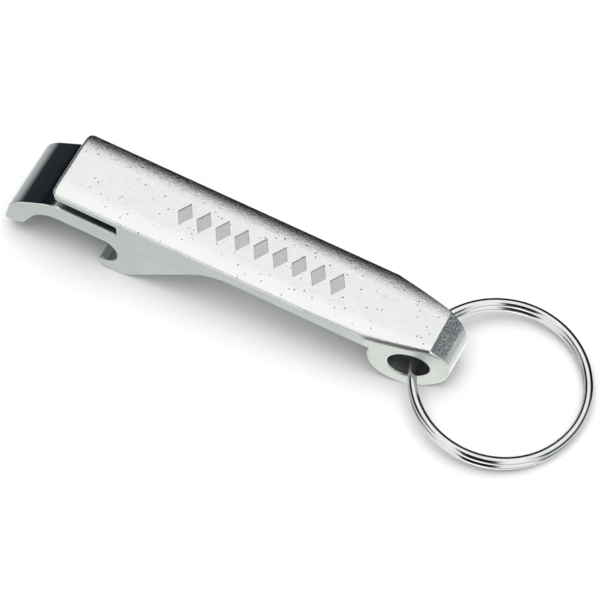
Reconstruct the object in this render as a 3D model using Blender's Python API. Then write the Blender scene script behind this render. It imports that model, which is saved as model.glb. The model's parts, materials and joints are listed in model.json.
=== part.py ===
"""Keychain bottle opener: an extruded aluminium body and the steel split ring through its eye.

Both lie as they rest on a table: the body on its heel and its lobe, the ring on its far side.
The body's outline is drawn in millimetres, in X and Z, with the top face on Z = 0 and the eye's centre on X = 0.
"""

import math

import bmesh
import bpy
from mathutils import Matrix, Vector

MM = 0.001

# Body: extrusion
WIDTH = 11.0
PLATE = 1.65  # top plate over the tab slot
SLOT_HEIGHT = 1.85
ARM = 3.45  # arm that carries the hook
BAR = 2.6  # thin bar between the fulcrum and the lobe
DEPTH = 14.25  # top face to the heel
PLATE_END = -54.0
SLOT_END = -44.0
PLATE_CORNER = 1.0  # plan radius of the plate's two free corners

# Body: hook at the end of the arm
HOOK_DROP = (-54.2, 7.5)  # where the arm's top turns down: X, radius
HOOK_BROW = (-60.85, -7.75, 6.0)
HOOK_NOSE = (-62.25, -13.5, 0.6)
HOOK_POINT = (-59.2, -12.7, 1.3)
HOOK_THROAT = (-56.0, 5.0)  # where the hook's inside meets the arm's underside: X, radius

# Body: tooth, heel and fulcrum
POCKET_CENTRE = (-46.8, -9.3)
POCKET_RADIUS = 2.75
TOOTH_X = -46.95
TOOTH_RADIUS = 0.3
HEEL_FRONT = (-46.35, 1.7)
HEEL_REAR_RADIUS = 4.0
COVE = (-29.4, 9.0)  # where the fulcrum slope meets the bar: X, radius
FULCRUM_SLOPE = math.radians(40.3)

# Body: lobe, eye and end
LOBE_RADIUS = 5.6
LOBE_CENTRE = (-0.1, -4.5)
LOBE_FILLET = 0.5
EYE_RADIUS = 2.85
EYE_Z = -4.9
BEVEL_START = 2.5
BEVEL_END = 4.4
TAPER_START = -6.4
TAPER_SLOPE = 0.17
TAPER_RADIUS = 95.0  # the cut sides are slightly convex in plan
EDGE_ROUND = 0.25  # tumbled edges

# Ring
WIRE = 1.2
TURN_GAP = 0.04  # between the two turns
RING_OUTER = 25.0
RING_LIFT = 0.6  # clearance under the wire, so that it swings without rubbing the eye
CRANK_START = 152.0  # degrees round the ring, 180 at the eye
CRANK_END = 176.0
END_GAP = 2.0  # degrees between each cut end and the crank

ARC_STEP = math.radians(12)
CUT_MARGIN = 3.0
EYE_SIDES = 36
TAPER_STEPS = 8
RING_STEP = 6.0  # degrees
RING_SIDES_SETTING = 3


def clear_scene():
    for obj in list(bpy.data.objects):
        bpy.data.objects.remove(obj)


def arc(centre, radius, start, end):
    """Points on an arc in X and Z, both ends included, from angle start to angle end in radians."""
    steps = max(2, math.ceil(abs(end - start) / ARC_STEP))
    angles = [start + (end - start) * i / steps for i in range(steps + 1)]
    return [Vector((centre[0] + radius * math.cos(a), centre[1] + radius * math.sin(a))) for a in angles]


def rounded(before, corner, after, radius):
    """The arc of that radius which replaces a corner between two straight edges. Radius 0 keeps the corner."""
    if not radius:
        return [corner]
    back = (before - corner).normalized()
    ahead = (after - corner).normalized()
    half = back.angle(ahead) / 2
    bisector = (back + ahead).normalized()
    centre = corner + bisector * (radius / math.sin(half))
    first = corner + back * (radius / math.tan(half))
    last = corner + ahead * (radius / math.tan(half))
    start = math.atan2(first.y - centre.y, first.x - centre.x)
    turn = math.atan2(last.y - centre.y, last.x - centre.x) - start
    turn = (turn + math.pi) % (2 * math.pi) - math.pi
    return arc(centre, radius, start, start + turn)


def heel_rear_x():
    return COVE[0] - (DEPTH - BAR) / math.tan(FULCRUM_SLOPE)


def lobe_and_fillet():
    """The round end from the bevel strip round under the eye, and the fillet into the bar's underside."""
    lobe_x, lobe_z = LOBE_CENTRE
    fillet_z = -BAR - LOBE_FILLET
    reach = LOBE_RADIUS + LOBE_FILLET
    fillet_run = -math.sqrt(reach**2 - (fillet_z - lobe_z) ** 2)
    towards_fillet = math.atan2(fillet_z - lobe_z, fillet_run) - 2 * math.pi
    bevel_foot = math.acos((BEVEL_END - lobe_x) / LOBE_RADIUS)
    lobe = arc(LOBE_CENTRE, LOBE_RADIUS, bevel_foot, towards_fillet)
    fillet = arc((lobe_x + fillet_run, fillet_z), LOBE_FILLET, towards_fillet + math.pi, math.pi / 2)
    return lobe + fillet[1:]


def pocket(arm_under):
    """The round pocket between the tooth and the arm, from the tooth up."""
    meets_arm = math.asin((arm_under - POCKET_CENTRE[1]) / POCKET_RADIUS)
    return arc(POCKET_CENTRE, POCKET_RADIUS, math.radians(-80), meets_arm)


def body_outline():
    """The extrusion's outline, clockwise from the free end of the top plate."""
    arm_top = -PLATE - SLOT_HEIGHT
    arm_under = arm_top - ARM
    pocket_floor = POCKET_CENTRE[1] - POCKET_RADIUS
    corners = [
        (PLATE_END, -PLATE, 0),
        (PLATE_END, 0, 0),
        (BEVEL_START, 0, 0.3),
        lobe_and_fillet(),
        (COVE[0], -BAR, COVE[1]),
        (heel_rear_x(), -DEPTH, HEEL_REAR_RADIUS),
        (HEEL_FRONT[0], -DEPTH, HEEL_FRONT[1]),
        (TOOTH_X, pocket_floor, TOOTH_RADIUS),
        pocket(arm_under),
        (HOOK_THROAT[0], arm_under, HOOK_THROAT[1]),
        HOOK_POINT,
        HOOK_NOSE,
        HOOK_BROW,
        (HOOK_DROP[0], arm_top, HOOK_DROP[1]),
        (SLOT_END, arm_top, 0.25),
        (SLOT_END, -PLATE, 0.25),
    ]
    points = []
    for i, corner in enumerate(corners):
        if isinstance(corner, list):
            points += corner
            continue
        before = corners[i - 1]
        after = corners[(i + 1) % len(corners)]
        before = before[-1] if isinstance(before, list) else Vector(before[:2])
        after = after[0] if isinstance(after, list) else Vector(after[:2])
        points += rounded(before, Vector(corner[:2]), after, corner[2])
    return points


def prism(name, points, low, high, axis):
    """A closed prism of points in the plane across axis, from low to high along it. All in millimetres."""
    bm = bmesh.new()
    place = {
        "Y": lambda a, b, along: (a * MM, along * MM, b * MM),
        "Z": lambda a, b, along: (a * MM, b * MM, along * MM),
    }[axis]
    face = bm.faces.new([bm.verts.new(place(a, b, low)) for a, b in points])
    made = bmesh.ops.extrude_face_region(bm, geom=[face])
    shift = Vector(place(0, 0, high - low))
    bmesh.ops.translate(bm, verts=[v for v in made["geom"] if isinstance(v, bmesh.types.BMVert)], vec=shift)
    bmesh.ops.recalc_face_normals(bm, faces=bm.faces)
    mesh = bpy.data.meshes.new(name)
    bm.to_mesh(mesh)
    bm.free()
    obj = bpy.data.objects.new(name, mesh)
    bpy.context.scene.collection.objects.link(obj)
    return obj


def round_plate_corners(obj):
    """Rounds the two upright edges at the plate's free end."""
    bm = bmesh.new()
    bm.from_mesh(obj.data)
    end = PLATE_END * MM
    across = [
        e for e in bm.edges if all(v.co.x < end + 0.00001 and v.co.z > -PLATE * MM for v in e.verts)
    ]
    upright = [e for e in across if abs(e.verts[0].co.y - e.verts[1].co.y) < 1e-7]
    bmesh.ops.bevel(bm, geom=upright, offset=PLATE_CORNER * MM, segments=4, profile=0.5, affect="EDGES")
    bm.to_mesh(obj.data)
    bm.free()


def taper_inset(x):
    """How far each side is cut in, at this place along the body."""
    run = max(0.0, x - TAPER_START)
    return run * TAPER_SLOPE + run**2 / (2 * TAPER_RADIUS)


def side_cutter(side):
    reach = LOBE_RADIUS + CUT_MARGIN
    stations = [TAPER_START + (reach - TAPER_START) * i / TAPER_STEPS for i in range(TAPER_STEPS + 1)]
    inner = [(x, side * (WIDTH / 2 - taper_inset(x))) for x in stations]
    outer = [(reach, side * (WIDTH / 2 + CUT_MARGIN)), (TAPER_START, side * (WIDTH / 2 + CUT_MARGIN))]
    return prism(f"side_cutter_{side:+d}", inner + outer, -DEPTH, CUT_MARGIN, "Z")


def eye_cutter():
    turn = 2 * math.pi / EYE_SIDES
    circle = [
        (EYE_RADIUS * math.cos(i * turn), EYE_Z + EYE_RADIUS * math.sin(i * turn)) for i in range(EYE_SIDES)
    ]
    half = WIDTH / 2 + CUT_MARGIN
    return prism("eye_cutter", circle, -half, half, "Y")


def cut(obj, cutter):
    cutter.hide_render = True
    cutter.display_type = "WIRE"
    modifier = obj.modifiers.new(cutter.name, "BOOLEAN")
    modifier.operation = "DIFFERENCE"
    modifier.object = cutter


def tumble_edges(obj):
    modifier = obj.modifiers.new("tumbled_edges", "BEVEL")
    modifier.width = EDGE_ROUND * MM
    modifier.segments = 2
    modifier.limit_method = "ANGLE"
    modifier.angle_limit = math.radians(50)
    modifier.use_clamp_overlap = False


def metal(name, colour, roughness):
    material = bpy.data.materials.new(name)
    material.use_nodes = True
    shader = material.node_tree.nodes["Principled BSDF"]
    shader.inputs["Base Color"].default_value = (*colour, 1)
    shader.inputs["Metallic"].default_value = 1.0
    shader.inputs["Roughness"].default_value = roughness
    return material


def make_body():
    body = prism("opener_body", body_outline(), -WIDTH / 2, WIDTH / 2, "Y")
    round_plate_corners(body)
    for cutter in (side_cutter(-1), side_cutter(1), eye_cutter()):
        cut(body, cutter)
        cutter.parent = body
    tumble_edges(body)
    body.data.materials.append(metal("satin_aluminium", (0.80, 0.81, 0.80), 0.34))
    body.data.shade_smooth()
    body.data.set_sharp_from_angle(angle=math.radians(30))
    return body


def coil_height(angle):
    """Height of the wire's centre over the ring's middle plane: the lower turn, the crank, the upper turn."""
    level = (WIRE + TURN_GAP) / 2
    share = (angle - 360 - CRANK_START) / (CRANK_END - CRANK_START)
    share = min(1.0, max(0.0, share))
    return level * (2 * share * share * (3 - 2 * share) - 1)


def coil_points():
    """The wire's centre line in the ring's own frame, whose origin is the wire's middle inside the eye."""
    radius = (RING_OUTER - WIRE) / 2
    start = CRANK_END + END_GAP
    end = CRANK_START - END_GAP + 720
    steps = round((end - start) / RING_STEP)
    points = []
    for i in range(steps + 1):
        angle = start + (end - start) * i / steps
        turn = math.radians(angle)
        points.append((radius + radius * math.cos(turn), radius * math.sin(turn), coil_height(angle)))
    return points


def make_ring():
    curve = bpy.data.curves.new("split_ring", "CURVE")
    curve.dimensions = "3D"
    curve.bevel_depth = WIRE / 2 * MM
    curve.bevel_resolution = RING_SIDES_SETTING
    curve.use_fill_caps = True
    points = coil_points()
    spline = curve.splines.new("POLY")
    spline.points.add(len(points) - 1)
    for slot, place in zip(spline.points, points):
        slot.co = (*(value * MM for value in place), 1)
    spline.use_smooth = True
    curve.materials.append(metal("nickel_plated_steel", (0.78, 0.77, 0.75), 0.12))
    ring = bpy.data.objects.new("split_ring", curve)
    bpy.context.scene.collection.objects.link(ring)
    return ring


def rest_angle():
    """The body's lean once its heel and its lobe both touch the table: their common tangent."""
    rear_tangent = HEEL_REAR_RADIUS * math.tan(FULCRUM_SLOPE / 2)
    run = -(heel_rear_x() - rear_tangent)
    run += LOBE_CENTRE[0]
    rise = LOBE_CENTRE[1] - (HEEL_REAR_RADIUS - DEPTH)
    return math.atan2(rise, run) - math.asin((LOBE_RADIUS - HEEL_REAR_RADIUS) / math.hypot(run, rise))


def ring_angle(height):
    """How far the ring's far side drops to the table when its wire is held this high in the eye."""
    across = RING_OUTER - WIRE
    level = (WIRE + TURN_GAP) / 2
    drop = height - WIRE / 2
    return math.asin(drop / math.hypot(across, level)) - math.atan2(level, across)


def empty(name, location):
    obj = bpy.data.objects.new(name, None)
    obj.location = location
    bpy.context.scene.collection.objects.link(obj)
    return obj


def stand_on_table(body, ring):
    """Leans the body on its heel and lobe, and hangs the ring in the eye with its far side on the table."""
    lean = rest_angle()
    lobe_centre = Matrix.Rotation(lean, 3, "Y") @ Vector((LOBE_CENTRE[0], 0, LOBE_CENTRE[1]))
    base = Vector((-lobe_centre.x, 0, LOBE_RADIUS - lobe_centre.z))
    body.location = base * MM
    body.rotation_euler.y = lean
    wire_z = EYE_Z - EYE_RADIUS + RING_LIFT + WIRE + TURN_GAP / 2
    wire = base + Matrix.Rotation(lean, 3, "Y") @ Vector((0, 0, wire_z))
    pivot = empty("ring_pivot", wire * MM)
    ring.parent = pivot
    pivot.rotation_euler.y = ring_angle(wire.z)
    return pivot


def extent(objects):
    bpy.context.view_layer.update()
    graph = bpy.context.evaluated_depsgraph_get()
    points = []
    for obj in objects:
        shape = obj.evaluated_get(graph)
        mesh = shape.to_mesh()
        points += [shape.matrix_world @ v.co for v in mesh.vertices]
        shape.to_mesh_clear()
    low = Vector(min(p[i] for p in points) for i in range(3))
    high = Vector(max(p[i] for p in points) for i in range(3))
    return low, high


def centre_on_origin(body, ring, pivot):
    """Puts the origin at the middle of the whole object's underside. Its width is centred already."""
    low, high = extent([body, ring])
    shift = Vector((-(low.x + high.x) / 2, 0, -low.z))
    body.location += shift
    pivot.location += shift


def main():
    clear_scene()
    body = make_body()
    ring = make_ring()
    pivot = stand_on_table(body, ring)
    centre_on_origin(body, ring, pivot)


main()
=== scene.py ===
"""Keychain bottle opener: tumbled aluminium body with its split ring, on a pale studio floor.

The body is modelled in its own frame in millimetres: the top face on Z = 0 and the eye's centre on X = 0.
"""

import json
import math

import bmesh
import bpy
from mathutils import Matrix, Vector


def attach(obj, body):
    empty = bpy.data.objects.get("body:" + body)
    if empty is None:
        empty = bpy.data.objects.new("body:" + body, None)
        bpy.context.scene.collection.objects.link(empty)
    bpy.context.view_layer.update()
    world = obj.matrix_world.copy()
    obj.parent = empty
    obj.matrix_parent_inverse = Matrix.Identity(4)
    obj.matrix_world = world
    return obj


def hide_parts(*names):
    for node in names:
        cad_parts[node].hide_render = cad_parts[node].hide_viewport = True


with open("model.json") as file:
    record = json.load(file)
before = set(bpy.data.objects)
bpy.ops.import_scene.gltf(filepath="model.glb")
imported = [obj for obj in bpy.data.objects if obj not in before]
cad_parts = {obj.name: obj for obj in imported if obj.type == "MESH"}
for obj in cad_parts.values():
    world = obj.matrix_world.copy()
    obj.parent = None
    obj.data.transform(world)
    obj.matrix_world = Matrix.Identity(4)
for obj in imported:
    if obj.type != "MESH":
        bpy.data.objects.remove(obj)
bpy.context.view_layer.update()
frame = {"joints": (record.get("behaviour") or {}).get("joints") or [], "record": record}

MM = 0.001

# Body: extrusion
WIDTH = 11.0
PLATE = 1.65
SLOT_HEIGHT = 1.85
ARM = 3.45
BAR = 2.6
DEPTH = 14.25
PLATE_END = -54.0
SLOT_END = -44.0
SLOT_CORNER = 0.25
PLATE_CORNER = 1.0

# Body: hook at the end of the arm, as X, Z and radius of each bend, without Z where it is the arm's
HOOK_DROP = (-54.2, 7.5)
HOOK_BROW = (-60.85, -7.75, 6.0)
HOOK_NOSE = (-62.25, -13.5, 0.6)
HOOK_POINT = (-59.2, -12.7, 1.3)
HOOK_THROAT = (-56.0, 5.0)

# Body: tooth, heel and fulcrum
POCKET_CENTRE = (-46.8, -9.3)
POCKET_RADIUS = 2.75
POCKET_FOOT = math.radians(-80)
TOOTH_X = -46.95
TOOTH_RADIUS = 0.3
HEEL_FRONT = (-46.35, 1.7)
HEEL_REAR_RADIUS = 4.0
COVE = (-29.4, 9.0)
FULCRUM_SLOPE = math.radians(40.3)

# Body: lobe, eye and end
LOBE_RADIUS = 5.6
LOBE_CENTRE = (-0.1, -4.5)
LOBE_FILLET = 0.5
EYE_RADIUS = 2.85
EYE_Z = -4.9
BEVEL_START = 2.5
BEVEL_END = 4.4
BEVEL_BEND = 0.3
TAPER_START = -6.4
TAPER_SLOPE = 0.17
TAPER_RADIUS = 95.0
EDGE_ROUND = 0.25

# Body: the top face's tumbled crown, which falls away towards its borders
CROWN_REACH = 2.8
CROWN_DROP = 0.42
CROWN_RISE = 0.12
END_REACH = 0.6
END_DROP = 0.28
FALL_POWER = 2.2
NARROWING_POWER = 3

# Body: extra wear along the top's near edge, growing towards the eye
WORN_START = -16.0
WORN_REACH = 0.75
WORN_DROP = 0.46

# Body: generic ornament, a row of shallow lozenges
LOZENGES = 9
LOZENGE_PITCH = 2.9
LOZENGE_HALF_LENGTH = 1.15
LOZENGE_HALF_WIDTH = 1.9
LOZENGE_ROW_CENTRE = -24.5
LOZENGE_DEPTH = 0.2

# Ring
WIRE = 1.2
TURN_GAP = 0.04
RING_OUTER = 25.0
RING_LIFT = 0.6
CRANK_START = 152.0
CRANK_END = 176.0
END_GAP = 2.0
END_BREAK = 0.12

# Fineness of the meshes: an angle in radians, one in degrees, and numbers of steps or sides
ARC_STEP = math.radians(4)
RING_STEP = 3.0
RING_SIDES = 24
EYE_SIDES = 96
EDGE_STEPS = 5
PLATE_CORNER_STEPS = 10
TAPER_STEPS = 24
CROWN_STEPS = 14
CROWN_STEP_POWER = 1.5
TOP_STEPS = 70
STRIP_STEPS = 6

# Tolerances and margins of cutting and sorting faces
SAME_POINT = 1e-5
SAME_SIDE = 1e-4
SAME_END = 0.01
CUT_MARGIN = 3.0
LOZENGE_MARGIN = 1.0
NEAR_TOP = 1.3 * EDGE_ROUND
FACING_UP = 0.05
ROUNDED_EDGE = math.radians(50)
SHARP_EDGE = math.radians(32)

# Bounds of the body's finishes, along it and upward
EYE_WALL = EYE_RADIUS + 0.02
LOZENGE_SUNK = (CROWN_RISE - LOZENGE_DEPTH - 0.02, CROWN_RISE - 0.02)
STRIP_FRONT = BEVEL_START + 0.1
STRIP_MARGIN = 0.08
TOP_BACK = BEVEL_START + 0.3
TOP_LOWEST = -1.1
SLOT_ALONG = (PLATE_END + 0.8, SLOT_END + 0.5)
SLOT_HALF = SLOT_HEIGHT / 2 + 0.1
MOUTH_ALONG = (HOOK_NOSE[0] + 1.5, SLOT_END + 1.0)
MOUTH_UP = (-12.6, -PLATE - SLOT_HEIGHT - 1.0)

# Limits of a face's unit normal in each finish
SIDEWAYS = 0.92
BORE_SIDEWAYS = 0.2
STRIP_SIDEWAYS = 0.5
UPWARD = 0.5
TOP_UPWARD = 0.35
MOUTH_UPWARD = 0.3
POCKET_UPWARD = 0.9
HOOK_FORWARD = -0.2


# Outline


def arc(centre, radius, start, end):
    """Points on an arc in X and Z, both ends included, from angle start to angle end in radians."""
    steps = max(2, math.ceil(abs(end - start) / ARC_STEP))
    angles = [start + (end - start) * i / steps for i in range(steps + 1)]
    return [Vector((centre[0] + radius * math.cos(a), centre[1] + radius * math.sin(a))) for a in angles]


def rounded(before, corner, after, radius):
    """The arc that replaces a corner between straight edges. Radius 0 keeps the corner."""
    if not radius:
        return [corner]
    back = (before - corner).normalized()
    ahead = (after - corner).normalized()
    half = back.angle(ahead) / 2
    bisector = (back + ahead).normalized()
    centre = corner + bisector * (radius / math.sin(half))
    first = corner + back * (radius / math.tan(half))
    last = corner + ahead * (radius / math.tan(half))
    start = math.atan2(first.y - centre.y, first.x - centre.x)
    turn = math.atan2(last.y - centre.y, last.x - centre.x) - start
    turn = (turn + math.pi) % (2 * math.pi) - math.pi
    return arc(centre, radius, start, start + turn)


def heel_rear_x():
    return COVE[0] - (DEPTH - BAR) / math.tan(FULCRUM_SLOPE)


def lobe_and_fillet():
    """The round end from the bevel strip round under the eye, and the fillet into the bar's underside."""
    lobe_x, lobe_z = LOBE_CENTRE
    fillet_z = -BAR - LOBE_FILLET
    reach = LOBE_RADIUS + LOBE_FILLET
    fillet_run = -math.sqrt(reach**2 - (fillet_z - lobe_z) ** 2)
    towards_fillet = math.atan2(fillet_z - lobe_z, fillet_run) - 2 * math.pi
    bevel_foot = math.acos((BEVEL_END - lobe_x) / LOBE_RADIUS)
    lobe = arc(LOBE_CENTRE, LOBE_RADIUS, bevel_foot, towards_fillet)
    fillet = arc((lobe_x + fillet_run, fillet_z), LOBE_FILLET, towards_fillet + math.pi, math.pi / 2)
    return lobe + fillet[1:]


def pocket(arm_under):
    """The round pocket between the tooth and the arm, from the tooth up."""
    meets_arm = math.asin((arm_under - POCKET_CENTRE[1]) / POCKET_RADIUS)
    return arc(POCKET_CENTRE, POCKET_RADIUS, POCKET_FOOT, meets_arm)


def outline_corners():
    """The corners as X, Z and radius, clockwise from the plate's free end, with two arcs among them."""
    arm_top = -PLATE - SLOT_HEIGHT
    arm_under = arm_top - ARM
    pocket_floor = POCKET_CENTRE[1] - POCKET_RADIUS
    return [
        (PLATE_END, -PLATE, 0),
        (PLATE_END, 0, 0),
        (BEVEL_START, 0, BEVEL_BEND),
        lobe_and_fillet(),
        (COVE[0], -BAR, COVE[1]),
        (heel_rear_x(), -DEPTH, HEEL_REAR_RADIUS),
        (HEEL_FRONT[0], -DEPTH, HEEL_FRONT[1]),
        (TOOTH_X, pocket_floor, TOOTH_RADIUS),
        pocket(arm_under),
        (HOOK_THROAT[0], arm_under, HOOK_THROAT[1]),
        HOOK_POINT,
        HOOK_NOSE,
        HOOK_BROW,
        (HOOK_DROP[0], arm_top, HOOK_DROP[1]),
        (SLOT_END, arm_top, SLOT_CORNER),
        (SLOT_END, -PLATE, SLOT_CORNER),
    ]


def body_outline():
    """The extrusion's outline as points, with every corner rounded."""
    corners = outline_corners()
    points = []
    for i, corner in enumerate(corners):
        if isinstance(corner, list):
            points += corner
            continue
        before = corners[i - 1]
        after = corners[(i + 1) % len(corners)]
        before = before[-1] if isinstance(before, list) else Vector(before[:2])
        after = after[0] if isinstance(after, list) else Vector(after[:2])
        points += rounded(before, Vector(corner[:2]), after, corner[2])
    return points


# Body


def link(name, data):
    """Puts an object made of that mesh, lamp or camera into the scene."""
    obj = bpy.data.objects.new(name, data)
    bpy.context.scene.collection.objects.link(obj)
    return obj


def mesh_from(name, bm):
    """A mesh made of what the bmesh holds, which is then freed."""
    mesh = bpy.data.meshes.new(name)
    bm.to_mesh(mesh)
    bm.free()
    return mesh


def prism(name, points, low, high, axis):
    """A closed prism of points in the plane across axis, from low to high along it, in millimetres."""
    place = {
        "Y": lambda a, b, along: (a, along, b),
        "Z": lambda a, b, along: (a, b, along),
    }[axis]
    bm = bmesh.new()
    face = bm.faces.new([bm.verts.new(place(a, b, low)) for a, b in points])
    made = bmesh.ops.extrude_face_region(bm, geom=[face])
    moved = [v for v in made["geom"] if isinstance(v, bmesh.types.BMVert)]
    bmesh.ops.translate(bm, verts=moved, vec=Vector(place(0, 0, high - low)))
    bmesh.ops.recalc_face_normals(bm, faces=bm.faces)
    return link(name, mesh_from(name, bm))


def round_plate_corners(obj):
    """Rounds the two upright edges at the plate's free end."""
    bm = bmesh.new()
    bm.from_mesh(obj.data)
    upright = []
    for edge in bm.edges:
        at_end = all(v.co.x < PLATE_END + SAME_END and v.co.z > -PLATE - SAME_END for v in edge.verts)
        if at_end and abs(edge.verts[0].co.y - edge.verts[1].co.y) < SAME_SIDE:
            upright.append(edge)
    bmesh.ops.bevel(
        bm,
        geom=upright,
        offset=PLATE_CORNER,
        segments=PLATE_CORNER_STEPS,
        profile=0.5,
        affect="EDGES",
    )
    bm.to_mesh(obj.data)
    bm.free()


def half_width(x):
    """Half of the body's width at this place along it, which the taper narrows towards the eye end."""
    run = max(0.0, x - TAPER_START)
    return WIDTH / 2 - (run * TAPER_SLOPE + run**2 / (2 * TAPER_RADIUS))


def eye_cutter():
    turn = 2 * math.pi / EYE_SIDES
    angles = [i * turn for i in range(EYE_SIDES)]
    circle = [(EYE_RADIUS * math.cos(a), EYE_Z + EYE_RADIUS * math.sin(a)) for a in angles]
    half = WIDTH / 2 + CUT_MARGIN
    return prism("eye_cutter", circle, -half, half, "Y")


def lozenge_cutter(index):
    """One lozenge of the ornament, its long diagonal across the body."""
    middle = LOZENGE_ROW_CENTRE + (index - (LOZENGES - 1) / 2) * LOZENGE_PITCH
    shape = [
        (middle - LOZENGE_HALF_LENGTH, 0),
        (middle, -LOZENGE_HALF_WIDTH),
        (middle + LOZENGE_HALF_LENGTH, 0),
        (middle, LOZENGE_HALF_WIDTH),
    ]
    return prism(f"lozenge_{index}", shape, CROWN_RISE - LOZENGE_DEPTH, CROWN_RISE + LOZENGE_MARGIN, "Z")


def freeze(obj):
    """Replaces the object's mesh with what its modifiers make of it."""
    graph = bpy.context.evaluated_depsgraph_get()
    made = bpy.data.meshes.new_from_object(obj.evaluated_get(graph))
    obj.modifiers.clear()
    obj.data = made


def cut(obj, cutter):
    modifier = obj.modifiers.new(cutter.name, "BOOLEAN")
    modifier.operation = "DIFFERENCE"
    modifier.object = cutter
    bpy.context.view_layer.update()
    freeze(obj)
    bpy.data.objects.remove(cutter)


def tumble_edges(obj):
    """Rounds all sharp edges a little, as tumbling does."""
    modifier = obj.modifiers.new("tumbled_edges", "BEVEL")
    modifier.width = EDGE_ROUND
    modifier.segments = EDGE_STEPS
    modifier.limit_method = "ANGLE"
    modifier.angle_limit = ROUNDED_EDGE
    modifier.use_clamp_overlap = False
    freeze(obj)


def slice_faces(bm, faces, place, normal):
    """Adds an edge loop through those faces, where they meet the plane."""
    edges = dict.fromkeys(e for f in faces for e in f.edges)
    verts = dict.fromkeys(v for f in faces for v in f.verts)
    geom = faces + list(edges) + list(verts)
    bmesh.ops.bisect_plane(bm, geom=geom, dist=SAME_POINT, plane_co=place, plane_no=normal)


def slice_across(bm, faces, x):
    slice_faces(bm, faces, (x, 0, 0), (1, 0, 0))


def slice_along(bm, faces, y):
    slice_faces(bm, faces, (0, y, 0), (0, 1, 0))


def taper_sides(obj):
    """Draws both sides in towards the eye end, evenly about the middle."""
    bm = bmesh.new()
    bm.from_mesh(obj.data)
    length = LOBE_RADIUS - TAPER_START
    for i in range(TAPER_STEPS):
        slice_across(bm, list(bm.faces), TAPER_START + length * i / TAPER_STEPS)
    for vert in bm.verts:
        vert.co.y *= half_width(vert.co.x) / half_width(TAPER_START)
    bm.to_mesh(obj.data)
    bm.free()


def share(value):
    """The value kept between 0 and 1."""
    return min(1.0, max(0.0, value))


def strip_foot():
    """Height at which the bevel strip meets the round end."""
    return LOBE_CENTRE[1] + math.sqrt(LOBE_RADIUS**2 - (BEVEL_END - LOBE_CENTRE[0]) ** 2)


def along_strip(x):
    """0 up to the bevel strip's start, 1 from its end on."""
    return share((x - BEVEL_START) / (BEVEL_END - BEVEL_START))


def near_top(bm):
    """Faces of the top, of the bevel strip and of the rounding beside them."""
    found = []
    for face in bm.faces:
        centre = face.calc_center_median()
        lowest = strip_foot() * along_strip(centre.x) - NEAR_TOP
        if face.normal.z > FACING_UP and centre.x < BEVEL_END and centre.z > lowest:
            found.append(face)
    return found


def crown_step(i):
    """Distance of a slice from the flat's border. The slices lie closer together beside it."""
    return EDGE_ROUND + CROWN_REACH * (i / CROWN_STEPS) ** CROWN_STEP_POWER


def slice_top(bm):
    """Cuts the faces near the top into a fine grid, so that they can be curved."""
    for i in range(CROWN_STEPS + 1):
        slice_across(bm, near_top(bm), PLATE_END + crown_step(i))
    start = PLATE_END + EDGE_ROUND + CROWN_REACH
    for i in range(1, TOP_STEPS):
        slice_across(bm, near_top(bm), start + (TAPER_START - start) * i / TOP_STEPS)
    for i in range(1, STRIP_STEPS):
        slice_across(bm, near_top(bm), BEVEL_START + (BEVEL_END - BEVEL_START) * i / STRIP_STEPS)
    for side in (-1, 1):
        for i in range(2 * CROWN_STEPS + 1):
            slice_along(bm, near_top(bm), side * (WIDTH / 2 - crown_step(i)))


def crown_fall(x, y):
    """How far the tumbled top lies below its middle, by the distances to its sides and end."""
    to_side = WIDTH / 2 - abs(y)
    to_end = x - PLATE_END
    narrowing = (half_width(max(x, TAPER_START)) / half_width(TAPER_START)) ** NARROWING_POWER
    at_side = CROWN_DROP * share(1 - to_side / CROWN_REACH) ** FALL_POWER * narrowing
    at_end = END_DROP * share(1 - to_end / END_REACH) ** FALL_POWER
    towards_eye = share((x - WORN_START) / (BEVEL_START - WORN_START))
    worn = WORN_DROP * towards_eye * share(1 - to_side / WORN_REACH) ** 2
    return at_side + at_end + (worn if y < 0 else 0.0)


def crown_top(obj):
    """Curves the top face down towards its borders, while the sides are still parallel."""
    bm = bmesh.new()
    bm.from_mesh(obj.data)
    bm.normal_update()
    slice_top(bm)
    for vert in bm.verts:
        along = along_strip(vert.co.x)
        if vert.co.z > strip_foot() * along - NEAR_TOP:
            vert.co.z += (CROWN_RISE - crown_fall(vert.co.x, vert.co.y)) * (1 - along)
    bm.to_mesh(obj.data)
    bm.free()


# Where each finish of the body lies


def within(value, bounds):
    low, high = bounds
    return low < value < high


def in_eye(centre, normal):
    """The eye's wall, without the rounding at its two mouths."""
    return math.hypot(centre.x, centre.z - EYE_Z) < EYE_WALL and abs(normal.y) < BORE_SIDEWAYS


def in_lozenge(centre):
    """The floors and walls of the ornament."""
    along_row = abs(centre.x - LOZENGE_ROW_CENTRE) < LOZENGES * LOZENGE_PITCH / 2
    return along_row and abs(centre.y) < LOZENGE_HALF_WIDTH and within(centre.z, LOZENGE_SUNK)


def on_strip(centre, normal):
    above_foot = centre.x > STRIP_FRONT and centre.z > strip_foot() - STRIP_MARGIN
    return above_foot and normal.z > UPWARD and abs(normal.y) < STRIP_SIDEWAYS


def on_top(centre, normal):
    """The crowned top face, and the rounding that turns over into the sides."""
    return centre.z > TOP_LOWEST and normal.z > TOP_UPWARD and centre.x < TOP_BACK


def in_slot(centre):
    """The tab slot's walls, from just inside its mouth to its end."""
    return within(centre.x, SLOT_ALONG) and abs(centre.z + PLATE + SLOT_HEIGHT / 2) < SLOT_HALF


def in_mouth(centre, normal):
    """The cap mouth's walls between the hook and the tooth, without the hook's own inward side."""
    inside = within(centre.x, MOUTH_ALONG) and within(centre.z, MOUTH_UP)
    over_tooth = centre.x > TOOTH_X and normal.z < POCKET_UPWARD
    on_hook = centre.x < HOOK_POINT[0] and normal.x < HOOK_FORWARD
    return inside and (normal.z < MOUTH_UPWARD or over_tooth) and not on_hook


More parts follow.
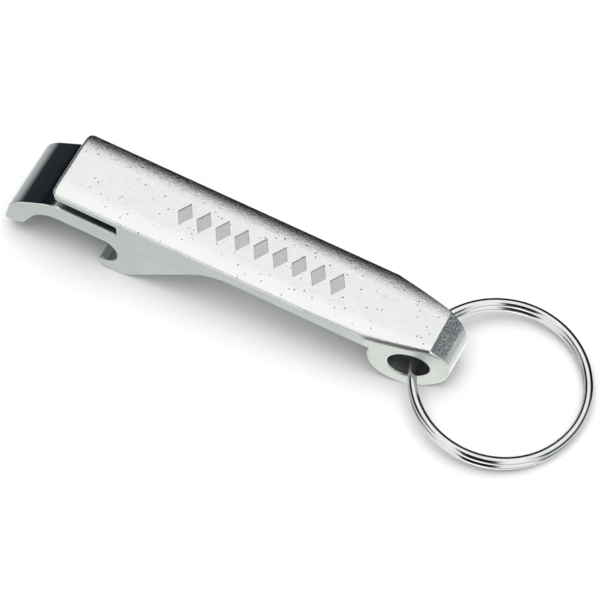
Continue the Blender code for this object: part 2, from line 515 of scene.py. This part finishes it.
def surface_of(centre, normal):
    """Which finish a face of the body has, from where it is and which way it looks."""
    if in_eye(centre, normal):
        return "bore"
    if abs(normal.y) > SIDEWAYS:
        return "side"
    if in_lozenge(centre):
        # The lozenge walls take the recess colour, which is painted shade
        return "etched" if normal.z > UPWARD else "recess_painted_shade"
    if on_strip(centre, normal):
        return "bevel"
    if on_top(centre, normal):
        return "top"
    if in_slot(centre) or in_mouth(centre, normal):
        # The slot and the mouth take the recess colour, which is painted shade
        return "recess_painted_shade"
    return "extruded"


def finish_mesh(mesh, placement):
    """Moves the mesh into the shared frame and shades it smooth, except across its sharp edges."""
    mesh.transform(placement)
    mesh.shade_smooth()
    mesh.set_sharp_from_angle(angle=SHARP_EDGE)


def make_body(materials, placement):
    body = prism("body", body_outline(), -WIDTH / 2, WIDTH / 2, "Y")
    round_plate_corners(body)
    cut(body, eye_cutter())
    tumble_edges(body)
    crown_top(body)
    taper_sides(body)
    for index in range(LOZENGES):
        cut(body, lozenge_cutter(index))
    surfaces = list(materials)
    body.data.materials.clear()
    for material in materials.values():
        body.data.materials.append(material)
    for face in body.data.polygons:
        face.material_index = surfaces.index(surface_of(face.center, face.normal))
    finish_mesh(body.data, placement @ Matrix.Scale(MM, 4))
    weighted = body.modifiers.new("weighted_normals", "WEIGHTED_NORMAL")
    weighted.keep_sharp = True
    return body


# Ring


def coil_height(angle):
    """Height of the wire's centre over the ring's middle plane, from the lower turn up the crank."""
    level = (WIRE + TURN_GAP) / 2
    done = share((angle - 360 - CRANK_START) / (CRANK_END - CRANK_START))
    return level * (2 * done * done * (3 - 2 * done) - 1)


def coil_points():
    """The wire's centre line in the ring's own frame, whose origin is in the wire inside the eye."""
    radius = (RING_OUTER - WIRE) / 2
    start = CRANK_END + END_GAP
    end = CRANK_START - END_GAP + 720
    steps = round((end - start) / RING_STEP)
    points = []
    for i in range(steps + 1):
        angle = start + (end - start) * i / steps
        turn = math.radians(angle)
        x = radius + radius * math.cos(turn)
        y = radius * math.sin(turn)
        points.append(Vector((x, y, coil_height(angle))))
    return points


def add_loop(bm, centre, outward, across, radius):
    """One ring of vertices round the wire."""
    loop = []
    for i in range(RING_SIDES):
        turn = 2 * math.pi * i / RING_SIDES
        offset = outward * math.cos(turn) + across * math.sin(turn)
        loop.append(bm.verts.new((centre + offset * radius) * MM))
    return loop


def add_loops(bm):
    """Loops all along the wire, and a smaller one past each cut end, whose edge is lightly broken."""
    points = coil_points()
    last = len(points) - 1
    middle = Vector(((RING_OUTER - WIRE) / 2, 0, 0))
    radius = WIRE / 2
    loops = []
    for i, point in enumerate(points):
        tangent = (points[min(i + 1, last)] - points[max(i - 1, 0)]).normalized()
        outward = (point - middle).normalized()
        across = tangent.cross(outward).normalized()
        outward = across.cross(tangent).normalized()
        if i == 0:
            loops.append(add_loop(bm, point - tangent * END_BREAK, outward, across, radius - END_BREAK))
        loops.append(add_loop(bm, point, outward, across, radius))
        if i == last:
            loops.append(add_loop(bm, point + tangent * END_BREAK, outward, across, radius - END_BREAK))
    return loops


def make_ring(material, placement):
    """The wire swept along its two turns, closed at both cut ends."""
    bm = bmesh.new()
    loops = add_loops(bm)
    for first, second in zip(loops, loops[1:]):
        for i in range(RING_SIDES):
            j = (i + 1) % RING_SIDES
            bm.faces.new((first[i], first[j], second[j], second[i]))
    bm.faces.new(loops[0])
    bm.faces.new(loops[-1])
    bmesh.ops.recalc_face_normals(bm, faces=bm.faces)
    mesh = mesh_from("ring", bm)
    mesh.materials.append(material)
    finish_mesh(mesh, placement)
    return link("ring", mesh)


# Materials


# Colour of each finish, where it is dullest and where it is brightest
SHADES = {
    "top": ((0.93, 0.93, 0.925), (0.965, 0.962, 0.958)),
    # The sides' colour, darker than the top's, is painted shade
    "side": ((0.60, 0.635, 0.61), (0.655, 0.685, 0.66)),
    "extruded": ((0.80, 0.81, 0.805), (0.86, 0.87, 0.865)),
    # The bevel's dark blue-grey and white are painted reflection and glints; its grain is its own
    "bevel": ((0.36, 0.46, 0.49), (1.0, 1.0, 1.0)),
    # The bore's darker colour is painted shade inside the eye; its tool rings are its own
    "bore": ((0.5, 0.52, 0.51), (0.7, 0.71, 0.7)),
    # The recesses' darker colour is painted shade
    "recess_painted_shade": ((0.27, 0.29, 0.28), (0.42, 0.44, 0.43)),
    "etched": ((0.84, 0.845, 0.84), (0.97, 0.97, 0.965)),
    "ring": ((0.80, 0.795, 0.78), (0.88, 0.875, 0.87)),
    "floor": ((0.925, 0.925, 0.925), (0.94, 0.94, 0.94)),
}
# Painted shade in the pits of the top, and how dark it gets
PIT_PAINTED_SHADE = (0.25, 0.26, 0.26)
PIT_PAINTED_SHADE_STRENGTH = 0.85
SPECK_SHADE = (0.42, 0.46, 0.48)
SPECK_STRENGTH = 0.8

# Roughness of each finish, where its grain is finest and where it is coarsest
ROUGHNESS = {
    "top": (0.15, 0.24),
    "side": (0.36, 0.48),
    "extruded": (0.12, 0.17),
    "bevel": (0.16, 0.3),
    "recess_painted_shade": (0.34, 0.48),
    "etched": (0.35, 0.5),
    "ring": (0.07, 0.14),
}
BORE_ROUGHNESS = 0.33
PAPER_ROUGHNESS = 0.9
PAPER_SPECULAR = 0.1

# The part of a pattern's range that is spread over a colour, a roughness or a height
WIDE = (0.3, 0.7)
CLOUDY = (0.35, 0.7)
MIDDLE = (0.35, 0.65)
CRISP = (0.43, 0.57)
SCRATCHED = (0.6, 0.75)
SPECKED = (0.45, 0.57)
PITTED = (0.1, 0.7)

# Repeats of a noise in a millimetre, along the body, across it and upward
DIE_LINES = (3.2, 0.06, 3.2)
SCRATCHES = (0.25, 7.0, 1.0)
TOOL_RINGS = (0.4, 5.0, 0.4)

# Pits of the top: spacing and radius in millimetres, and the share of the places that have one
FINE_PITS = (0.65, 0.23, 0.28)
BIG_PITS = (1.6, 0.12, 0.5)

# Distances from the middle plane at which the top's grey specks start, and at which they are densest
SPECKLED_BORDER = (2.2, 4.9)

# A colour mix's sockets for its share and its two colours, and its colour result
MIX_SOCKETS = (0, 6, 7)
MIX_RESULT = 2


class Tree:
    """Shorthand for a node tree. An input takes a plain value or another node's output."""

    def __init__(self, tree):
        self.tree = tree

    def add(self, kind, **inputs):
        node = self.tree.nodes.new(kind)
        for name, value in inputs.items():
            self.put(node, name, value)
        return node

    def put(self, node, name, value):
        socket = node.inputs[name]
        if isinstance(value, bpy.types.NodeSocket):
            self.tree.links.new(value, socket)
        else:
            socket.default_value = value

    def math(self, operation, *values):
        node = self.add("ShaderNodeMath")
        node.operation = operation
        for i, value in enumerate(values):
            self.put(node, i, value)
        return node.outputs["Value"]

    def mix(self, amount, first, second):
        node = self.add("ShaderNodeMix")
        node.data_type = "RGBA"
        for socket, value in zip(MIX_SOCKETS, (amount, first, second)):
            self.put(node, socket, value)
        return node.outputs[MIX_RESULT]

    def remap(self, value, low, high, to_low=0.0, to_high=1.0, interpolation="LINEAR"):
        """The value carried from one range to another, and kept inside it."""
        node = self.add("ShaderNodeMapRange", Value=value)
        node.interpolation_type = interpolation
        node.inputs["From Min"].default_value = low
        node.inputs["From Max"].default_value = high
        node.inputs["To Min"].default_value = to_low
        node.inputs["To Max"].default_value = to_high
        return node.outputs["Result"]


class Finish(Tree):
    """Builds one material around its Principled shader. Its patterns are placed in millimetres."""

    def __init__(self, name, metallic=1.0):
        self.material = bpy.data.materials.new(name)
        self.material.use_nodes = True
        super().__init__(self.material.node_tree)
        self.shader = self.tree.nodes["Principled BSDF"]
        self.shader.inputs["Metallic"].default_value = metallic

    def place(self, per_mm):
        """Object coordinates, counted in repeats of a pattern along each axis."""
        coords = self.add("ShaderNodeTexCoord").outputs["Object"]
        mapping = self.add("ShaderNodeMapping", Vector=coords)
        mapping.inputs["Scale"].default_value = [s / MM for s in per_mm]
        return mapping.outputs["Vector"]

    def across(self):
        """Distance from the body's middle plane in millimetres, negative on the near side."""
        return self.add("ShaderNodeSeparateXYZ", Vector=self.place((1, 1, 1))).outputs["Y"]

    def noise(self, per_mm, detail=3.0, roughness=0.5):
        node = self.add("ShaderNodeTexNoise", Vector=self.place(per_mm))
        node.inputs["Scale"].default_value = 1.0
        node.inputs["Detail"].default_value = detail
        node.inputs["Roughness"].default_value = roughness
        return node.outputs["Fac"]

    def grain(self, per_mm, detail=3.0, roughness=0.5):
        """Noise of the same size in every direction."""
        return self.noise((per_mm,) * 3, detail, roughness)

    def cells(self, per_mm):
        """A jittered grid: distance to the nearest point, and that point's own random colour."""
        node = self.add("ShaderNodeTexVoronoi", Vector=self.place((per_mm,) * 3))
        node.inputs["Scale"].default_value = 1.0
        return node.outputs["Distance"], node.outputs["Color"]

    def pits(self, spacing, radius, kept):
        """Small round hollows in some cells of a jittered grid: 0 is untouched, 1 is a pit's bottom."""
        distance, colour = self.cells(1 / spacing)
        depth = self.remap(distance, 0.0, radius, 1.0, 0.0)
        chance = self.add("ShaderNodeSeparateColor", Color=colour).outputs["Red"]
        return self.math("MULTIPLY", depth, self.math("LESS_THAN", chance, kept))

    def shade(self, name, value, spread):
        """The finish's colour, from its dullest to its brightest as the value goes over the spread."""
        dull, bright = SHADES[name]
        return self.mix(self.remap(value, *spread), (*dull, 1), (*bright, 1))

    def rough(self, name, value):
        return self.remap(value, *WIDE, *ROUGHNESS[name])

    def bump(self, height, depth, strength, under=None):
        """A normal bent by the height, whose range stands for that depth in millimetres."""
        node = self.add("ShaderNodeBump", Height=height)
        node.inputs["Distance"].default_value = depth * MM
        node.inputs["Strength"].default_value = strength
        if under is not None:
            self.put(node, "Normal", under)
        return node.outputs["Normal"]

    def finish(self, colour, roughness, normal=None):
        self.put(self.shader, "Base Color", colour)
        self.put(self.shader, "Roughness", roughness)
        if normal is not None:
            self.put(self.shader, "Normal", normal)
        return self.material


def top_material():
    """Tumbled, lightly polished: pits with painted shade, soft grain, faint scratches, grey specks at one
    border.
    """
    made = Finish("tumbled_top")
    grain = made.grain(5.0, 5.0, 0.65)
    cloud = made.noise((0.35, 0.5, 0.5))
    scratches = made.remap(made.noise(SCRATCHES, 2.0), *SCRATCHED)
    pits = made.math("MAXIMUM", made.pits(*FINE_PITS), made.pits(*BIG_PITS))
    specks = made.remap(made.grain(5.0, 2.0), *SPECKED, 0.0, SPECK_STRENGTH)
    specks = made.math("MULTIPLY", specks, made.remap(made.across(), *SPECKLED_BORDER))
    colour = made.shade("top", cloud, CLOUDY)
    # The pits are darkened with painted shade; their bump is their own
    colour = made.mix(made.remap(pits, *PITTED, 0.0, PIT_PAINTED_SHADE_STRENGTH), colour, (*PIT_PAINTED_SHADE, 1))
    colour = made.mix(specks, colour, (*SPECK_SHADE, 1))
    normal = made.bump(grain, 0.035, 1.0)
    normal = made.bump(scratches, 0.003, 0.5, normal)
    normal = made.bump(made.remap(pits, 0.0, 1.0, 1.0, 0.0), 0.04, 0.8, normal)
    return made.finish(colour, made.rough("top", grain), normal)


def side_material():
    """Cut and tumbled flat sides: matt, with a fine even grain, and a colour darker than the top's, which
    is painted shade.
    """
    made = Finish("tumbled_side_painted_shade")
    grain = made.grain(6.0, 5.0, 0.6)
    colour = made.shade("side", made.noise((0.3, 0.5, 0.3)), WIDE)
    return made.finish(colour, made.rough("side", grain), made.bump(grain, 0.02, 0.5))


def extruded_material():
    """Surfaces left by the die and lightly polished, with fine lines along the extrusion."""
    made = Finish("extruded")
    lines = made.noise(DIE_LINES, 4.0, 0.6)
    grain = made.grain(7.0)
    normal = made.bump(grain, 0.005, 0.5, made.bump(lines, 0.005, 0.5))
    return made.finish(made.shade("extruded", lines, WIDE), made.rough("extruded", lines), normal)


def bevel_material():
    """The coarse strip between the top face and the round end, with a crackled skin; its dark blue-grey
    and white patches are painted reflection and painted glints.
    """
    made = Finish("coarse_bevel_painted_reflection")
    grain = made.grain(4.5, 5.0, 0.75)
    flakes, _ = made.cells(3.0)
    normal = made.bump(grain, 0.3, 1.0, made.bump(flakes, 0.22, 1.0))
    return made.finish(made.shade("bevel", grain, CRISP), made.rough("bevel", grain), normal)


def bore_material():
    """The drilled eye, with tool rings round its wall, and a darker colour that is painted shade inside
    the hole.
    """
    made = Finish("drilled_bore_painted_shade")
    rings = made.noise(TOOL_RINGS)
    return made.finish(made.shade("bore", rings, WIDE), BORE_ROUGHNESS, made.bump(rings, 0.03, 0.7))


def recess_painted_shade_material():
    """The insides of the slot, the mouth and the lozenges: duller, with die lines, and a darker colour
    that is painted shade.
    """
    made = Finish("mouth_inside_painted_shade")
    lines = made.noise(DIE_LINES, 4.0, 0.6)
    colour = made.shade("recess_painted_shade", lines, WIDE)
    return made.finish(colour, made.rough("recess_painted_shade", lines), made.bump(lines, 0.02, 0.6))


def etched_material():
    """The sunk floor of the ornament: blasted, greyer than the face around it."""
    made = Finish("blasted_floor")
    grain = made.grain(6.0, 6.0, 0.7)
    colour = made.shade("etched", grain, MIDDLE)
    return made.finish(colour, made.rough("etched", grain), made.bump(grain, 0.08, 0.9))


def ring_material():
    """Bright plated wire with faint drawing lines."""
    made = Finish("plated_wire")
    grain = made.grain(4.0, 4.0)
    colour = made.shade("ring", made.grain(0.5), WIDE)
    return made.finish(colour, made.rough("ring", grain), made.bump(grain, 0.004, 0.5))


def floor_material():
    """Matt white paper with a barely visible tooth."""
    made = Finish("floor_paper", metallic=0.0)
    made.shader.inputs["Specular IOR Level"].default_value = PAPER_SPECULAR
    return made.finish(made.shade("floor", made.grain(0.8), WIDE), PAPER_ROUGHNESS)


# Studio


# What the polished metal mirrors from straight below, 0, over the horizon, 0.5, to straight above, 1
TABLE_TO_CEILING = (
    (0.0, (0.90, 0.92, 0.91)),
    (0.12, (0.80, 0.83, 0.82)),
    (0.24, (0.50, 0.53, 0.52)),
    (0.42, (0.35, 0.38, 0.37)),
    (0.49, (0.18, 0.20, 0.20)),
    (0.54, (0.085, 0.10, 0.105)),
    (0.575, (0.022, 0.027, 0.033)),
    (0.60, (0.006, 0.009, 0.014)),
    (0.70, (0.006, 0.009, 0.014)),
    (0.77, (0.20, 0.24, 0.25)),
    (0.84, (0.92, 0.93, 0.93)),
    (1.0, (1.0, 1.0, 1.0)),
)

# The wedge at the back in which the dark gap over the table reaches down to the floor
BACK_MIDDLE = -0.2
BACK_NARROWING = 1.2
BACK_EDGE = (0.02, 0.2)
BACK_LIFT = -1.25

# Cards and gaps in the tent, in parts of a unit direction: each pair is where a soft edge starts and ends
WHITE_CARD_RIGHT = -0.13
WHITE_CARD_NARROWING = 4.0
WHITE_CARD_FRONT = (0.45, 0.75)
CARD_FOOT = (-0.5, -0.2)
FRONT_GAP_LEFT = (-0.13, -0.04)
FRONT_GAP_FRONT = (0.4, 0.54)
RIGHT_CARD_RIGHT = (0.42, 0.56)
RIGHT_CARD_FRONT = (0.3, 0.45)
LEFT_GAP_LEFT = (0.42, 0.55)
LEFT_GAP_FOOT = (0.2, 0.35)
LEFT_GAP_HEAD = (0.7, 0.8)
GLOW_LEFT = (-0.2, -0.1)
GLOW_RIGHT = (0.06, 0.16)
GLOW_DOWN = (0.5, 0.7)
CURTAIN_BACK = (0.55, 0.72)

WHITE_CARD_COLOUR = (0.95, 0.96, 0.955)
FRONT_GAP_COLOUR = (0.012, 0.016, 0.018)
RIGHT_CARD_COLOUR = (1.0, 1.0, 1.0)
LEFT_GAP_COLOUR = (0.006, 0.009, 0.014)
GLOW_COLOUR = (1.5, 1.5, 1.45)
CURTAIN_COLOUR = (0.006, 0.009, 0.011)
BACKDROP_COLOUR = (0.92, 0.92, 0.92)

LAMP_PLACE = (0.1, -0.1, 1.2)
LAMP_SIZE = 1.0
LAMP_POWER = 10.5
FLOOR_HALF_SIDE = 4.0

# Camera: angles in degrees and target in millimetres in the body's own frame, distance in metres
CAMERA_AZIMUTH = 24.7
CAMERA_ELEVATION = 61.5
CAMERA_ROLL = 2.8
CAMERA_TARGET = (-15.8, -5.5, 2.16)
CAMERA_DISTANCE = 0.4055
CAMERA_LENS = 182.7
CAMERA_SENSOR = 36.0
CAMERA_CLIP = (0.01, 20.0)


def make_floor(material):
    bm = bmesh.new()
    bmesh.ops.create_grid(bm, x_segments=4, y_segments=4, size=FLOOR_HALF_SIDE)
    floor = link("floor", mesh_from("floor", bm))
    floor.data.materials.append(material)
    floor.visible_glossy = False


class Sky(Tree):
    """What is seen in each direction: X to the right, Y to the back, Z up."""

    def __init__(self, tree):
        super().__init__(tree)
        coords = self.add("ShaderNodeTexCoord").outputs["Generated"]
        self.x, self.y, self.z = self.add("ShaderNodeSeparateXYZ", Vector=coords).outputs
        self.left = self.math("MULTIPLY", self.x, -1.0)
        self.front = self.math("MULTIPLY", self.y, -1.0)
        self.down = self.math("MULTIPLY", self.z, -1.0)

    def step(self, value, edge):
        """0 before the soft edge, 1 past it."""
        return self.remap(value, *edge, interpolation="SMOOTHSTEP")

    def both(self, first, second):
        return self.math("MULTIPLY", first, second)

    def between(self, value, first_edge, second_edge):
        """1 from the first soft edge to the second, 0 outside them."""
        return self.math("SUBTRACT", self.step(value, first_edge), self.step(value, second_edge))

    def table_to_ceiling(self):
        """The colours over the height, with all below the horizon lifted into the gap in the wedge."""
        off_middle = self.math("ABSOLUTE", self.math("SUBTRACT", self.x, BACK_MIDDLE))
        wedge = self.math("SUBTRACT", self.y, self.math("MULTIPLY", off_middle, BACK_NARROWING))
        below = self.math("MINIMUM", self.z, 0.0)
        lift = self.math("MULTIPLY", self.both(below, self.step(wedge, BACK_EDGE)), BACK_LIFT)
        height = self.math("MULTIPLY_ADD", self.math("ADD", self.z, lift), 0.5, 0.5)
        ramp = self.add("ShaderNodeValToRGB", Fac=height)
        for place, _ in TABLE_TO_CEILING[1:-1]:
            ramp.color_ramp.elements.new(place)
        for element, (place, colour) in zip(ramp.color_ramp.elements, TABLE_TO_CEILING):
            element.position = place
            element.color = (*colour, 1)
        return ramp.outputs["Color"]

    def white_card(self):
        """A white card at the front left, whose right end slants away to the front."""
        past_end = self.math("MAXIMUM", self.math("SUBTRACT", self.x, WHITE_CARD_RIGHT), 0.0)
        slant = self.math("MULTIPLY", past_end, WHITE_CARD_NARROWING)
        return self.step(self.math("SUBTRACT", self.front, slant), WHITE_CARD_FRONT)

    def front_gap(self):
        """A dark gap beside that card, above the table."""
        gap = self.both(self.step(self.x, FRONT_GAP_LEFT), self.step(self.front, FRONT_GAP_FRONT))
        return self.both(gap, self.step(self.z, CARD_FOOT))

    def right_card(self):
        card = self.both(self.step(self.x, RIGHT_CARD_RIGHT), self.step(self.front, RIGHT_CARD_FRONT))
        return self.both(card, self.step(self.z, CARD_FOOT))

    def left_gap(self):
        """A dark band on the left, over the horizon."""
        band = self.between(self.z, LEFT_GAP_FOOT, LEFT_GAP_HEAD)
        return self.both(self.step(self.left, LEFT_GAP_LEFT), band)

    def low_glow(self):
        """Light from the table straight below."""
        return self.both(self.between(self.x, GLOW_LEFT, GLOW_RIGHT), self.step(self.down, GLOW_DOWN))

    def seen(self):
        """The table and the ceiling, with each card and gap laid over those before it."""
        layers = (
            (self.white_card(), WHITE_CARD_COLOUR),
            (self.front_gap(), FRONT_GAP_COLOUR),
            (self.right_card(), RIGHT_CARD_COLOUR),
            (self.left_gap(), LEFT_GAP_COLOUR),
            (self.low_glow(), GLOW_COLOUR),
            (self.step(self.y, CURTAIN_BACK), CURTAIN_COLOUR),
        )
        seen = self.table_to_ceiling()
        for amount, colour in layers:
            seen = self.mix(amount, seen, (*colour, 1))
        return seen


def make_world():
    """The light tent that lights the metal and shows in it, behind a plain pale backdrop."""
    world = bpy.data.worlds.new("studio")
    bpy.context.scene.world = world
    world.use_nodes = True
    nodes = world.node_tree.nodes
    sky = Sky(world.node_tree)
    tent = nodes["Background"]
    sky.put(tent, "Color", sky.seen())
    pale = sky.add("ShaderNodeBackground", Color=(*BACKDROP_COLOUR, 1))
    to_camera = sky.add("ShaderNodeLightPath").outputs["Is Camera Ray"]
    mix = sky.add("ShaderNodeMixShader", Fac=to_camera)
    sky.put(mix, 1, tent.outputs["Background"])
    sky.put(mix, 2, pale.outputs["Background"])
    sky.put(nodes["World Output"], "Surface", mix.outputs["Shader"])


def make_lamp():
    """A soft lamp that lights the floor and doesn't show as a patch in the metal."""
    data = bpy.data.lights.new("ceiling_lamp", "AREA")
    data.shape = "SQUARE"
    data.size = LAMP_SIZE
    data.energy = LAMP_POWER
    lamp = link("ceiling_lamp", data)
    lamp.location = LAMP_PLACE
    lamp.rotation_euler = (-Vector(LAMP_PLACE)).to_track_quat("-Z", "Y").to_euler()
    lamp.visible_glossy = False


def camera_axes():
    """Columns right, up and back of the camera in the body's frame, rolled about its own axis."""
    a, e, r = (math.radians(v) for v in (CAMERA_AZIMUTH, CAMERA_ELEVATION, CAMERA_ROLL))
    right = Vector((math.cos(a), math.sin(a), 0))
    up = Vector((-math.sin(a) * math.sin(e), math.cos(a) * math.sin(e), math.cos(e)))
    back = Vector((math.sin(a) * math.cos(e), -math.cos(a) * math.cos(e), math.sin(e)))
    rolled_right = right * math.cos(r) + up * math.sin(r)
    rolled_up = up * math.cos(r) - right * math.sin(r)
    return Matrix((rolled_right, rolled_up, back)).transposed()


def make_camera(base, lean):
    """The camera over the body, which is leaned and stands at its base in the shared frame."""
    data = bpy.data.cameras.new("camera")
    data.lens = CAMERA_LENS
    data.sensor_width = CAMERA_SENSOR
    data.clip_start, data.clip_end = CAMERA_CLIP
    axes = lean.to_3x3() @ camera_axes()
    target = base + (lean @ Vector(CAMERA_TARGET)) * MM
    matrix = axes.to_4x4()
    matrix.translation = target + axes.col[2] * CAMERA_DISTANCE
    camera = link("camera", data)
    camera.matrix_world = matrix
    bpy.context.scene.camera = camera


# Assembly


def lean_of(mount):
    """The turn about Y that carries straight up onto the mount's axis."""
    axis = mount["axis"]
    return Matrix.Rotation(math.atan2(axis[0], axis[2]), 4, "Y")


def body_materials():
    return {
        "top": top_material(),
        "side": side_material(),
        "extruded": extruded_material(),
        "bevel": bevel_material(),
        "bore": bore_material(),
        "etched": etched_material(),
        "recess_painted_shade": recess_painted_shade_material(),
    }


def main():
    mounts = {mount["name"]: mount for mount in frame["record"]["mounts"]}
    lean = lean_of(mounts["top_face"])
    ring_lean = lean_of(mounts["ring_loop"])
    pivot = Vector(frame["joints"][0]["pos_m"])
    pivot_z = EYE_Z - EYE_RADIUS + RING_LIFT + WIRE + TURN_GAP / 2
    base = pivot - (lean @ Vector((0, 0, pivot_z))) * MM

    body = make_body(body_materials(), Matrix.Translation(base) @ lean)
    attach(body, "opener")
    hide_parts("opener_body")

    ring = make_ring(ring_material(), Matrix.Translation(pivot) @ ring_lean)
    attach(ring, "ring")
    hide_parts("split_ring")

    make_floor(floor_material())
    make_world()
    make_lamp()
    make_camera(base, lean)
    bpy.context.scene.view_settings.view_transform = "Standard"


main()
bpy.context.view_layer.update()
